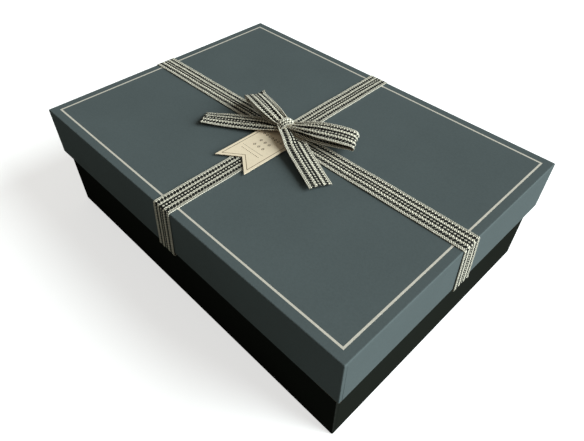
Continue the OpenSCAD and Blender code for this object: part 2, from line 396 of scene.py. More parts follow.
def bump(wire, shader, height, depth, strength=1.0):
    node = wire.add("Bump", {"Height": height, "Distance": depth, "Strength": strength})
    wire.put(shader.inputs["Normal"], node.outputs[0])


def scaled(wire, tint, tone):
    """A tint made lighter or darker by a tone near 1."""
    grey = wire.add("CombineXYZ", {"X": tone, "Y": tone, "Z": tone}).outputs[0]
    return wire.mix(1.0, tint, grey, "MULTIPLY")


def wrap_paper(name, tint, rubbed, low, high, strip=0.9 * MM, roughness=0.80, gloss=0.10):
    """Uncoated wrapping paper that is rubbed lighter along the edges of a box."""
    material, wire, shader = start_material(name)
    if wire is None:
        return material
    place = wire.add("TexCoord").outputs["Object"]
    fibres = wire.group(paper_fibres(), place=place, fibre_scale=900.0)
    centre, half = (low + high) / 2, (high - low) / 2
    worn = wire.group(edge_wear(), place=place, centre=centre, half_size=half, strip=strip)["Mask"]
    worn = wire.times(worn, wire.ease(fibres["Tone"], 0.85, 1.1, 0.35, 0.85))
    tone = scaled(wire, tint, fibres["Tone"])
    wire.put(shader.inputs["Base Color"], wire.mix(worn, tone, rubbed))
    wire.put(shader.inputs["Roughness"], wire.scale_add(fibres["Tone"], 0.12, roughness - 0.12))
    shader.inputs["Specular IOR Level"].default_value = gloss
    bump(wire, shader, fibres["Height"], 0.05 * MM, 0.5)
    return material


def plain_paper(name, tint, fibre_scale=900.0, roughness=0.65, tooth=0.05 * MM):
    """Paper or board with no rubbed edges."""
    material, wire, shader = start_material(name)
    if wire is None:
        return material
    place = wire.add("TexCoord").outputs["Object"]
    fibres = wire.group(paper_fibres(), place=place, fibre_scale=fibre_scale)
    fleck = wire.ease(wire.noise(place, fibre_scale * 1.7, 3.0, 0.7), 0.62, 0.72, 0.0, 0.35)
    tone = scaled(wire, tint, fibres["Tone"])
    darker = scaled(wire, tint, 0.55)
    wire.put(shader.inputs["Base Color"], wire.mix(fleck, tone, darker))
    wire.put(shader.inputs["Roughness"], wire.scale_add(fibres["Tone"], 0.1, roughness - 0.1))
    bump(wire, shader, fibres["Height"], tooth, 0.6)
    return material


def foil_finish():
    material, wire, shader = start_material("champagne foil")
    if wire is None:
        return material
    place = wire.add("TexCoord").outputs["Object"]
    crease = wire.noise(place, 1400.0, 3.0, 0.6)
    missing = wire.ease(wire.noise(place, 900.0, 5.0, 0.75), 0.66, 0.74)
    tint = scaled(wire, colours().foil, wire.scale_add(crease, 0.4, 0.8))
    wire.put(shader.inputs["Base Color"], wire.mix(missing, tint, colours().slate_worn))
    wire.put(shader.inputs["Metallic"], wire.scale_add(missing, -0.35, 0.35))
    wire.put(shader.inputs["Roughness"], wire.scale_add(crease, 0.25, 0.33))
    bump(wire, shader, crease, 0.04 * MM, 0.6)
    return material


def ribbon_finish():
    material, wire, shader = start_material("striped ribbon")
    if wire is None:
        return material
    tints = colours()
    place = wire.add("UVMap", uv_map="weave").outputs[0]
    weave = wire.group(
        ribbon_weave(), along_and_across=place, cream=tints.cream, dark=tints.ink_thread, cord=tints.cord,
        pitch=ribbon().pitch,
    )
    wire.put(shader.inputs["Base Color"], weave["Colour"])
    wire.put(shader.inputs["Roughness"], wire.scale_add(weave["Dark Mask"], -0.1, 0.82))
    shader.inputs["Sheen Weight"].default_value = 0.04
    shader.inputs["Sheen Roughness"].default_value = 0.45
    shader.inputs["Specular IOR Level"].default_value = 0.15
    bump(wire, shader, weave["Height"], 0.22 * MM, 0.9)
    return material


def card_finish():
    material, wire, shader = start_material("cream card")
    if wire is None:
        return material
    place = wire.add("TexCoord").outputs["Object"]
    fibres = wire.group(paper_fibres(), place=place, fibre_scale=1300.0)
    speck = wire.ease(wire.noise(place, 2600.0, 2.0, 0.6), 0.66, 0.76, 0.0, 0.4)
    tone = scaled(wire, colours().card, fibres["Tone"])
    wire.put(shader.inputs["Base Color"], wire.mix(speck, tone, scaled(wire, colours().card, 0.5)))
    wire.put(shader.inputs["Roughness"], wire.scale_add(fibres["Tone"], 0.1, 0.6))
    bump(wire, shader, fibres["Height"], 0.04 * MM, 0.5)
    return material


def print_finish():
    material, wire, shader = start_material("brown print")
    if wire is None:
        return material
    place = wire.add("TexCoord").outputs["Object"]
    patchy = wire.ease(wire.noise(place, 3000.0, 3.0, 0.7), 0.55, 0.8, 0.0, 0.5)
    wire.put(shader.inputs["Base Color"], wire.mix(patchy, colours().print, colours().card))
    wire.put(shader.inputs["Roughness"], wire.scale_add(patchy, 0.2, 0.5))
    return material


# ---- mesh helpers -----------------------------------------------------------


def place_piece(bm, name, material, body, nodes=(), smooth=True):
    """Makes an object of a finished mesh, hangs it on its body's empty and hides the imported parts it stands
    in for.
    """
    mesh = bpy.data.meshes.new(name)
    bm.to_mesh(mesh)
    bm.free()
    if smooth:
        mesh.shade_smooth()
    piece = bpy.data.objects.new(name, mesh)
    bpy.context.scene.collection.objects.link(piece)
    for each in material if isinstance(material, (list, tuple)) else [material]:
        mesh.materials.append(each)
    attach(piece, body)
    if nodes:
        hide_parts(*nodes)
    return piece


def dress(node, material):
    """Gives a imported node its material."""
    node.data.materials.clear()
    node.data.materials.append(material)


def widened(low, high, by, bottom, top):
    """The corners of a box moved outwards sideways, between two heights."""
    return Vector((low.x - by, low.y - by, bottom)), Vector((high.x + by, high.y + by, top))


def upright_edges(bm, least):
    """Edges that rise by more than a least height."""
    return [e for e in bm.edges if abs(e.verts[0].co.z - e.verts[1].co.z) > least]


def box_mesh(low, high):
    bm = bmesh.new()
    bmesh.ops.create_cube(bm, size=1.0)
    size = high - low
    bmesh.ops.scale(bm, vec=size, verts=bm.verts)
    bmesh.ops.translate(bm, vec=(low + high) / 2, verts=bm.verts)
    return bm


def face_towards(bm, direction):
    """The outermost face that looks in a direction."""
    direction = Vector(direction)
    facing = [f for f in bm.faces if f.normal.dot(direction) > 0.99]
    return max(facing, key=lambda f: f.calc_center_median().dot(direction))


def step_face(bm, face, thickness, depth=0.0):
    """Insets one face and keeps the middle, which may sink or rise."""
    bmesh.ops.inset_region(
        bm, faces=[face], thickness=thickness, depth=depth, use_even_offset=True, use_boundary=True
    )
    return face


def outer_folds(bm, low, high):
    """The folds to round on a tray: its upright corners, and every fold in its top and bottom planes."""
    found = []
    for edge in bm.edges:
        if len(edge.link_faces) != 2 or edge.calc_face_angle() < math.radians(80):
            continue
        upright = all(abs(v.co.x) > high.x - MM and abs(v.co.y) > high.y - MM for v in edge.verts)
        level = any(all(abs(v.co.z - z) < 0.01 * MM for v in edge.verts) for z in (low.z, high.z))
        if upright or level:
            found.append(edge)
    return found


def paper_tray(low, high, opening, shell, turn_in):
    """A box of paper open on one side, its paper folded over the rim and down inside."""
    bm = box_mesh(low, high)
    mouth = face_towards(bm, (0, 0, opening))
    step_face(bm, mouth, shell)
    bm.normal_update()
    inside = bmesh.ops.extrude_face_region(bm, geom=[mouth])
    moved = [v for v in inside["geom"] if isinstance(v, bmesh.types.BMVert)]
    bmesh.ops.translate(bm, vec=(0, 0, -opening * turn_in), verts=moved)
    unwanted = {f for f in inside["geom"] if isinstance(f, bmesh.types.BMFace)}
    if mouth.is_valid:
        unwanted.add(mouth)
    bmesh.ops.delete(bm, geom=list(unwanted), context="FACES")
    return bm


def round_edges(bm, edges, radius, segments=3):
    """Rounds edges to a radius."""
    bmesh.ops.bevel(
        bm, geom=edges, offset=radius, offset_type="OFFSET", segments=segments, profile=0.5,
        affect="EDGES", material=-1, clamp_overlap=True,
    )


def overlap_seams(bm, low, high, closed_z, rim_z):
    """Cuts the end faces near their upright edges and sets the paper there a little lower."""
    inset, drop = sizes().seam_inset, sizes().seam_step
    half_y = (high.y - low.y) / 2
    fade_length, slope = 3 * MM, 0.12 * MM
    fade = closed_z + math.copysign(fade_length, rim_z - closed_z)
    cuts = [((0, side * (half_y - at), 0), (0, 1, 0)) for side in (-1, 1) for at in (inset, inset + slope)]
    cuts.append(((0, 0, fade), (0, 0, 1)))
    for co, normal in cuts:
        ends = [f for f in bm.faces if abs(f.normal.x) > 0.99 and abs(f.calc_center_median().x) > high.x - MM]
        geom = list(set([*ends, *[e for f in ends for e in f.edges], *[v for f in ends for v in f.verts]]))
        bmesh.ops.bisect_plane(bm, geom=geom, plane_co=co, plane_no=normal, dist=1e-7)
    for v in bm.verts:
        at_end = abs(v.co.x) > high.x - 1e-6
        near_edge = abs(v.co.y) > half_y - inset - 1e-6
        full = (v.co.z - fade) * (rim_z - closed_z) > -1e-9
        if at_end and near_edge and full:
            v.co.x -= math.copysign(drop, v.co.x)


def crisp(bm):
    """Keeps the shading of flat panels flat: folds sharper than a rounded edge's facets are marked."""
    for edge in bm.edges:
        if len(edge.link_faces) == 2 and edge.calc_face_angle() > math.radians(40):
            edge.smooth = False


def thicken(piece, thickness):
    """Gives a sheet its thickness, inwards from the face that is seen."""
    modifier = piece.modifiers.new("Paper thickness", "SOLIDIFY")
    modifier.thickness = thickness
    modifier.offset = -1.0
    modifier.use_even_offset = True
    flat = piece.modifiers.new("Flat panels", "WEIGHTED_NORMAL")
    flat.keep_sharp = True


def corner_stays(name, low, high, leg, edge_round, thickness, body, nodes):
    """Four paper angles bent round the upright corners of the boards."""
    bm = box_mesh(low, high)
    ends = [face_towards(bm, (0, 0, side)) for side in (-1, 1)]
    bmesh.ops.delete(bm, geom=ends, context="FACES")
    round_edges(bm, upright_edges(bm, MM), edge_round, 4)
    for axis in (0, 1):
        for side in (-1, 1):
            co, normal = Vector(), Vector()
            co[axis] = side * (high[axis] - leg)
            normal[axis] = 1
            bmesh.ops.bisect_plane(bm, geom=[*bm.verts, *bm.edges, *bm.faces], plane_co=co, plane_no=normal)
    middle = []
    for f in bm.faces:
        c = f.calc_center_median()
        if abs(c.x) < high.x - leg or abs(c.y) < high.y - leg:
            middle.append(f)
    bmesh.ops.delete(bm, geom=middle, context="FACES")
    stays = place_piece(bm, name, plain_paper("kraft paper", colours().kraft), body, nodes)
    thicken(stays, thickness)
    return stays


# ---- ribbon -----------------------------------------------------------------


def smooth_line(stations, per_span=24):
    """A smooth curve through rows of numbers, as dense rows (the first three are a place)."""
    rows = np.array(stations, float)
    padded = np.vstack([2 * rows[0] - rows[1], rows, 2 * rows[-1] - rows[-2]])
    found = []
    for i in range(1, len(padded) - 2):
        a, b, c, d = padded[i - 1 : i + 3]
        for t in np.arange(per_span) / per_span:
            square = (2 * a - 5 * b + 4 * c - d) * t**2
            cube = (3 * b - a - 3 * c + d) * t**3
            found.append(0.5 * (2 * b + (c - a) * t + square + cube))
    return np.array([*found, rows[-1]])


def filleted_line(corners, step):
    """A line through corners (x, y, z, radius), each rounded to its radius."""
    points = [np.array(corners[0][:3], float)]
    for before, here, after in zip(corners, corners[1:], corners[2:]):
        p, a, b = (np.array(c[:3], float) for c in (here, before, after))
        to_a, to_b = (a - p) / np.linalg.norm(a - p), (b - p) / np.linalg.norm(b - p)
        bend = math.pi - math.acos(float(np.clip(to_a @ to_b, -1, 1)))
        if bend < 1e-4:
            points.append(p)
            continue
        cut = here[3] * math.tan(bend / 2)
        middle = (to_a + to_b) / np.linalg.norm(to_a + to_b)
        centre = p + middle * here[3] / math.cos(bend / 2)
        start = p + to_a * cut - centre
        side = p + to_b * cut - centre
        side = side - start * (side @ start) / (start @ start)
        side *= np.linalg.norm(start) / np.linalg.norm(side)
        for t in np.linspace(0, bend, max(3, int(bend * 8))):
            points.append(centre + start * math.cos(t) + side * math.sin(t))
    points.append(np.array(corners[-1][:3], float))
    dense = []
    for a, b in zip(points, points[1:]):
        n = max(1, int(np.linalg.norm(b - a) / step))
        dense.extend(a + (b - a) * t for t in np.arange(n) / n)
    return np.array([*dense, points[-1]])


def breadths(half, cord):
    """Places across the ribbon from one edge to the other, and its half thickness there."""
    body = ribbon().body / 2
    arc = np.radians([90, 62, 34, 6, -22])
    edge = [(half - cord + cord * math.sin(a), max(body, cord * math.cos(a))) for a in arc]
    edge[0] = (edge[0][0], 0.0)
    inner = edge[-1][0] - 0.2 * MM
    plain = [(v, body) for v in np.linspace(-inner, inner, 31)]
    return np.array([(-v, t) for v, t in edge] + plain + edge[::-1])


def relief(along, across, pitch):
    """Raised and sunken threads of the weave."""
    turn = along / pitch
    wide = np.abs(across)
    dash = np.exp(-(((wide - 4.5 * MM) / (0.7 * MM)) ** 2))
    rows = np.exp(-(((wide - 1.05 * MM) / (0.5 * MM)) ** 2))
    oval = np.exp(-((across / (0.4 * MM)) ** 2)) * (0.5 + 0.5 * np.cos(2 * np.pi * turn))
    rib = np.cos(2 * np.pi * turn + across / MM * 1.1)
    flat = np.clip((6.6 * MM - wide) / (0.6 * MM), 0, 1)
    return flat * MM * (0.03 * rib - 0.045 * dash - 0.035 * rows + 0.05 * oval)


def folded(angle, v):
    """Where the threads lie across a ribbon whose section turns through angles, about its middle."""
    mid = (angle[:, 1:] + angle[:, :-1]) / 2
    start = np.zeros((len(angle), 1))
    x = np.concatenate([start, np.cumsum(np.cos(mid) * np.diff(v), axis=1)], axis=1)
    z = np.concatenate([start, np.cumsum(np.sin(mid) * np.diff(v), axis=1)], axis=1)
    return x - (x[:, :1] + x[:, -1:]) / 2, z - np.mean(z, axis=1, keepdims=True)


def sweep(
    name, line, across, body, nodes, tilt=0.0, gather=0.0, pleats=3, arch=0.0, crease=0.0, phase=0.0,
    hold_edge=False, fray=0.0,
):
    """Sweeps the ribbon's section along a line. Returns the piece and its cut length.

    tilt, gather, arch and crease may change along the line. hold_edge keeps one edge in place
    under a crease, and fray cuts the far end unevenly.
    """
    size = ribbon()
    line = np.asarray(line, float)
    steps = np.linalg.norm(np.diff(line[:, :3], axis=0), axis=1)
    keep = np.r_[True, steps > 1e-9]
    line = line[keep]

    def all_along(values, shape):
        return np.broadcast_to(np.asarray(values, float), shape)[keep]

    channels = [all_along(c, (len(keep),)) for c in (tilt, gather, arch, crease)]
    travelled = np.r_[0, np.cumsum(np.linalg.norm(np.diff(line[:, :3], axis=0), axis=1))]
    total = travelled[-1]
    ahead = np.gradient(line[:, :3], travelled, axis=0)
    ahead /= np.linalg.norm(ahead, axis=1)[:, None]
    side = all_along(across, (len(keep), 3))
    side = side - ahead * np.sum(side * ahead, axis=1)[:, None]
    side /= np.linalg.norm(side, axis=1)[:, None]
    up = np.cross(ahead, side)
    turned = np.radians(channels[0])[:, None]
    side, up = side * np.cos(turned) + up * np.sin(turned), up * np.cos(turned) - side * np.sin(turned)

    section = breadths(size.width / 2, size.cord / 2)
    v, t = section[:, 0], section[:, 1]
    columns = max(8, int(total / size.step))
    rows = len(section) - 1
    share = np.linspace(0, 1, columns + 1)
    breadth = v / (size.width / 2)
    short = fray * np.random.default_rng(11).random(len(v))
    along = share[:, None] * (total - short)[None, :]

    def at(values):
        values = np.asarray(values, float)
        if values.ndim == 1:
            return np.interp(along, travelled, values)
        return np.stack([np.interp(along, travelled, values[:, k]) for k in range(3)], axis=-1)

    centre, side_at, up_at = at(line[:, :3]), at(side), at(up)
    _, gathered, arched, creased = (at(c) for c in channels)
    open_angle = gathered * np.sin(2 * np.pi * pleats * breadth / 2 + phase) - arched * v / MM
    angle = open_angle - creased * np.pi * np.clip(1.3 - np.abs(v / MM - 1.8) / 1.6, 0, 1)
    open_x, _ = folded(open_angle, v)
    x, z = folded(angle, v)
    if hold_edge:
        x += open_x[:, :1] - x[:, :1]
    lift = np.where(t > 0, t + relief(along, v[None, :], size.pitch), 0.0)
    lift = np.where((t > 0) & (lift < 0.05 * MM), 0.05 * MM, lift)
    faces = {}
    for sign in (1, -1):
        offset_x = x - sign * np.sin(angle) * lift
        offset_z = z + sign * np.cos(angle) * lift
        faces[sign] = centre + side_at * offset_x[..., None] + up_at * offset_z[..., None]

    bm = bmesh.new()
    bmesh.ops.create_grid(bm, x_segments=columns, y_segments=2 * rows, size=0.5)
    weave = bm.loops.layers.uv.new("weave")
    mapped = {}
    for vert in bm.verts:
        i = round((vert.co.x + 0.5) * columns)
        j = round((vert.co.y + 0.5) * 2 * rows)
        sign, k = (1, j) if j <= rows else (-1, 2 * rows - j)
        vert.co = faces[sign][i, k]
        mapped[vert] = (along[i, k], v[k])
    for face in bm.faces:
        for corner in face.loops:
            corner[weave].uv = mapped[corner.vert]
    bmesh.ops.remove_doubles(bm, verts=bm.verts, dist=1e-7)
    rims = [e for e in bm.edges if e.is_boundary]
    caps = bmesh.ops.holes_fill(bm, edges=rims, sides=0)["faces"]
    for face in caps:
        for corner in face.loops:
            near = [c for c in corner.vert.link_loops if c.face is not face]
            corner[weave].uv = near[0][weave].uv
    bmesh.ops.triangulate(bm, faces=caps)
    bmesh.ops.recalc_face_normals(bm, faces=bm.faces)
    piece = place_piece(bm, name, ribbon_finish(), body, nodes)
    return piece, total


def wander(line, seed, amount, free):
    """Lifts a band a little off the lid, differently along its length."""
    s = np.r_[0, np.cumsum(np.linalg.norm(np.diff(line, axis=0), axis=1))]
    rng = np.random.default_rng(seed)
    lift = np.zeros(len(s))
    for wave in (0.065, 0.038, 0.021):
        lift += np.sin(2 * np.pi * (s / wave + rng.random())) * wave / 0.065
    return amount * (0.5 + 0.25 * lift) * free


# ---- operators --------------------------------------------------------------


class GIFTBOX_OT_stage(bpy.types.Operator):
    """Floor, soft light and camera"""

    bl_idname = "giftbox.stage"
    bl_label = "Stage"

    def execute(self, context):
        bm = bmesh.new()
        # a little under the box, whose bottom sheet would otherwise lie in the same plane
        lowered = Matrix.Translation((0, 0, -FLOOR_DROP))
        bmesh.ops.create_grid(bm, x_segments=1, y_segments=1, size=FLOOR_HALF, matrix=lowered)
        mesh = bpy.data.meshes.new("studio_floor")
        bm.to_mesh(mesh)
        bm.free()
        floor = bpy.data.objects.new("studio_floor", mesh)
        context.scene.collection.objects.link(floor)
        material, wire, shader = start_material("studio_floor")
        place = wire.add("TexCoord").outputs["Object"]
        tone = wire.scale_add(wire.noise(place, 3.0, 2.0), 0.02, 0.99)
        seen = wire.add("LightPath").outputs["Is Camera Ray"]
        pale = scaled(wire, colours().floor, tone)
        wire.put(shader.inputs["Base Color"], wire.mix(seen, FLOOR_BOUNCE, pale))
        wire.put(shader.inputs["Emission Color"], scaled(wire, (0.8, 0.8, 0.8), seen))
        shader.inputs["Emission Strength"].default_value = 0.80
        shader.inputs["Roughness"].default_value = 0.9
        shader.inputs["Specular IOR Level"].default_value = 0.1
        mesh.materials.append(material)

        world = bpy.data.worlds.new("studio_air")
        context.scene.world = world
        world.use_nodes = True
        air = world.node_tree.nodes["Background"]
        sky = Wiring(world.node_tree)
        seen = sky.add("LightPath").outputs["Is Camera Ray"]
        sky.put(air.inputs["Color"], sky.mix(seen, AIR_TINT, (1.0, 1.0, 1.0)))
        sky.put(air.inputs["Strength"], sky.scale_add(seen, 0.85, AIR_STRENGTH))

        light = bpy.data.lights.new("key", "SUN")
        light.angle = math.radians(KEY_SOFTNESS)
        light.energy = KEY_POWER
        light.color = KEY_TINT
        lamp = bpy.data.objects.new("key", light)
        turn, height = math.radians(KEY_TURN), math.radians(KEY_HEIGHT)
        level = math.cos(height)
        towards = Vector((math.cos(turn) * level, math.sin(turn) * level, math.sin(height)))
        lamp.rotation_euler = towards.to_track_quat("Z", "Y").to_euler()
        context.scene.collection.objects.link(lamp)

        data = bpy.data.cameras.new("camera")
        data.lens = CAMERA_LENS
        data.sensor_width = 36.0
        data.clip_start = 0.01
        data.clip_end = 20.0
        camera = bpy.data.objects.new("camera", data)
        axes = (CAMERA_RIGHT, CAMERA_UP, CAMERA_RIGHT.cross(CAMERA_UP))
        rotation = Matrix(axes).transposed().to_4x4()
        camera.matrix_world = Matrix.Translation(CAMERA_AT) @ rotation
        context.scene.collection.objects.link(camera)
        context.scene.camera = camera
        context.scene.view_settings.view_transform = "Standard"
        return {"FINISHED"}


class GIFTBOX_OT_boards(bpy.types.Operator):
    """Greyboard panels, corner stays and lining papers"""

    bl_idname = "giftbox.boards"
    bl_label = "Boards and linings"

    def execute(self, context):
        board = plain_paper("greyboard", colours().greyboard, 500.0, 0.85, 0.12 * MM)
        for name, node in NODES.items():
            if name.endswith("_board"):
                dress(node, board)
                weld = node.modifiers.new("Join faces", "WELD")
                weld.merge_threshold = 0.01 * MM
                bevel = node.modifiers.new("Soft edges", "BEVEL")
                bevel.width = 0.5 * MM
                bevel.segments = 2
        black = plain_paper("black lining", [1.5 * c for c in colours().black])
        slate = plain_paper("slate lining", [0.9 * c for c in colours().slate])
        dress(NODES["base_floor_lining"], black)
        dress(NODES["base_wall_lining"], black)
        dress(NODES["lid_lining"], slate)
        for body in ("base", "lid"):
            low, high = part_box(f"{body}_corner_stays")
            if body == "lid":
                high.z -= sizes().edge_round
            else:
                low.z += sizes().edge_round
            radius = sizes().edge_round - sizes().paper + STAY_THICK
            stands_for = [f"{body}_corner_stays"]
            corner_stays(f"{body}_stays", low, high, sizes().stay_leg, radius, STAY_THICK, body, stands_for)
        return {"FINISHED"}


class GIFTBOX_OT_base_paper(bpy.types.Operator):
    """Black wrapping paper of the base, and its bottom sheet"""

    bl_idname = "giftbox.base_paper"
    bl_label = "Base paper"

    def execute(self, context):
        size = sizes()
        low, high = Vector((BASE_LOW.x, BASE_LOW.y, 0.13 * MM)), BASE_HIGH.copy()
        bm = paper_tray(low, high, 1, size.shell, size.turn_in)
        bottom = face_towards(bm, (0, 0, -1))
        step_face(bm, bottom, size.turn_under)
        bmesh.ops.delete(bm, geom=[bottom], context="FACES")
        round_edges(bm, outer_folds(bm, low, high), size.edge_round)
        overlap_seams(bm, low, high, low.z, high.z)
        bmesh.ops.recalc_face_normals(bm, faces=bm.faces)
        crisp(bm)
        tint, rubbed = colours().black, colours().black_worn
        material = wrap_paper("black paper", tint, rubbed, low, high, roughness=0.85, gloss=0.0)
        wrap = place_piece(bm, "base_wrap", material, "base", ["base_side_wrap"])
        thicken(wrap, size.paper)

        bm = box_mesh(*widened(SHEET_LOW, SHEET_HIGH, -size.sheet_inset, 0.0, 0.12 * MM))
        round_edges(bm, upright_edges(bm, 0.05 * MM), 1.0 * MM, 4)
        sheet = plain_paper("black bottom paper", [1.2 * c for c in colours().black])
        place_piece(bm, "base_sheet", sheet, "base", ["base_bottom_sheet"], smooth=False)
        return {"FINISHED"}


class GIFTBOX_OT_lid_paper(bpy.types.Operator):
    """Slate wrapping paper of the lid, with the groove pressed for the foil"""

    bl_idname = "giftbox.lid_paper"
    bl_label = "Lid paper"

    def execute(self, context):
        size = sizes()
        low, high = LID_LOW.copy(), LID_HIGH.copy()
        bm = paper_tray(low, high, -1, size.shell, size.turn_in)
        top = face_towards(bm, (0, 0, 1))
        foil_inset = high.x - FOIL_HIGH.x - size.foil_spread
        foil_width = FOIL_WIDTH + 2 * size.foil_spread
        slope = 0.03 * MM
        step_face(bm, top, foil_inset - slope)
        step_face(bm, top, slope, -size.foil_depth)
        step_face(bm, top, foil_width)
        step_face(bm, top, slope, size.foil_depth)
        round_edges(bm, outer_folds(bm, low, high), size.edge_round)
        overlap_seams(bm, low, high, high.z, low.z)
        bmesh.ops.recalc_face_normals(bm, faces=bm.faces)
        crisp(bm)
        material = wrap_paper("slate paper", colours().slate, colours().slate_worn, low, high)
        wrap = place_piece(bm, "lid_wrap_paper", material, "lid", ["lid_wrap"])
        thicken(wrap, size.paper)
        return {"FINISHED"}


class GIFTBOX_OT_foil(bpy.types.Operator):
    """Foil line in its groove"""

    bl_idname = "giftbox.foil"
    bl_label = "Foil line"

    def execute(self, context):
        sunk = 0.015 * MM
        bed = LID_TOP - sizes().foil_depth
        top = LID_TOP - sunk
        spread = sizes().foil_spread
        bm = box_mesh(*widened(FOIL_LOW, FOIL_HIGH, spread, bed, top))
        above, below = face_towards(bm, (0, 0, 1)), face_towards(bm, (0, 0, -1))
        step_face(bm, above, FOIL_WIDTH + 2 * spread)
        step_face(bm, below, FOIL_WIDTH + 2 * spread)
        loops = [*above.edges, *below.edges]
        bmesh.ops.delete(bm, geom=[above, below], context="FACES_ONLY")
        bmesh.ops.bridge_loops(bm, edges=[e for e in loops if e.is_valid])
        bmesh.ops.recalc_face_normals(bm, faces=bm.faces)
        upper = [e for e in bm.edges if all(v.co.z > top - 0.001 * MM for v in e.verts)]
        round_edges(bm, [e for e in upper if e.calc_face_angle() > 1], sunk, 2)
        place_piece(bm, "foil_line", foil_finish(), "lid", ["foil_border"], smooth=False)
        return {"FINISHED"}


def band_corners(half, outward, across, start_off, fold_off, low_off, climb):
    """Half of a band: over the lid, down the skirt, round the rim and up inside."""
    outward, across = Vector(outward), Vector(across)
    cord = ribbon().cord / 2
    top = LID_TOP + cord
    under = RIM - 2.0 * MM
    fold_round, rim_round, hump_round = 1.15 * MM, 1.55 * MM, 4 * MM
    rows = [(0.0, top + climb, start_off, 60 * MM)]
    if climb:
        # level over the other band, then down on the lid
        rows += [(8.6 * MM, top + climb, start_off, hump_round), (12.5 * MM, top, start_off, hump_round)]
    inside = half - sizes().shell - cord
    part_way = fold_off + (low_off - fold_off) * 0.28
    rows += [
        (half + cord, top, fold_off, fold_round),
        (half + cord + 0.25 * MM, LID_TOP - 12 * MM, part_way, 30 * MM),
        (half + cord + 0.35 * MM, under, low_off, rim_round),
        (inside, under, low_off, rim_round),
        (inside, RIM + ribbon().tuck, low_off, 0),
    ]
    return [(*(outward * s + across * off + Vector((0, 0, z))), r) for s, z, off, r in rows]


class GIFTBOX_OT_bands(bpy.types.Operator):
    """The two ribbon bands that cross on the lid"""

    bl_idname = "giftbox.bands"
    bl_label = "Ribbon bands"

    def execute(self, context):
        # left and right are how far the band lies sideways at its fold and at the rim on each side
        for name, node, out_dir, across, half, left, right, middle, climb, seed in (
            ("band_lengthwise", "ribbon_lengthwise", (1, 0, 0), (0, 1, 0), LID_HIGH.x,
             (-1.6 * MM, -4.5 * MM), (2.1 * MM, 6.9 * MM), 0.2 * MM, 0.0, 3),
            ("band_crosswise", "ribbon_crosswise", (0, 1, 0), (1, 0, 0), LID_HIGH.y,
             (-0.1 * MM, -4.1 * MM), (-2.7 * MM, -4.0 * MM), -1.0 * MM, 0.62 * MM, 8),
        ):
            back = [-c for c in out_dir]
            near = band_corners(half, back, across, middle, left[0], left[1], climb)
            far = band_corners(half, out_dir, across, middle, right[0], right[1], climb)
            line = filleted_line([*near[::-1], *far[1:]] if climb else [*near[::-1][:-1], *far], 0.3 * MM)
            reach = np.abs(line[:, :2] @ np.array(out_dir[:2]))
            from_fold = np.clip((half - 6 * MM - reach) / (20 * MM), 0, 1)
            from_bow = np.clip((reach - 16 * MM) / (20 * MM), 0, 1)
            on_top = line[:, 2] > LID_TOP
            line[:, 2] += wander(line, seed, 0.35 * MM, from_fold * from_bow) * on_top
            sideways = across if out_dir[0] else (-1, 0, 0)
            piece, cut = sweep(name, line, sideways, "lid", [node])
        return {"FINISHED"}


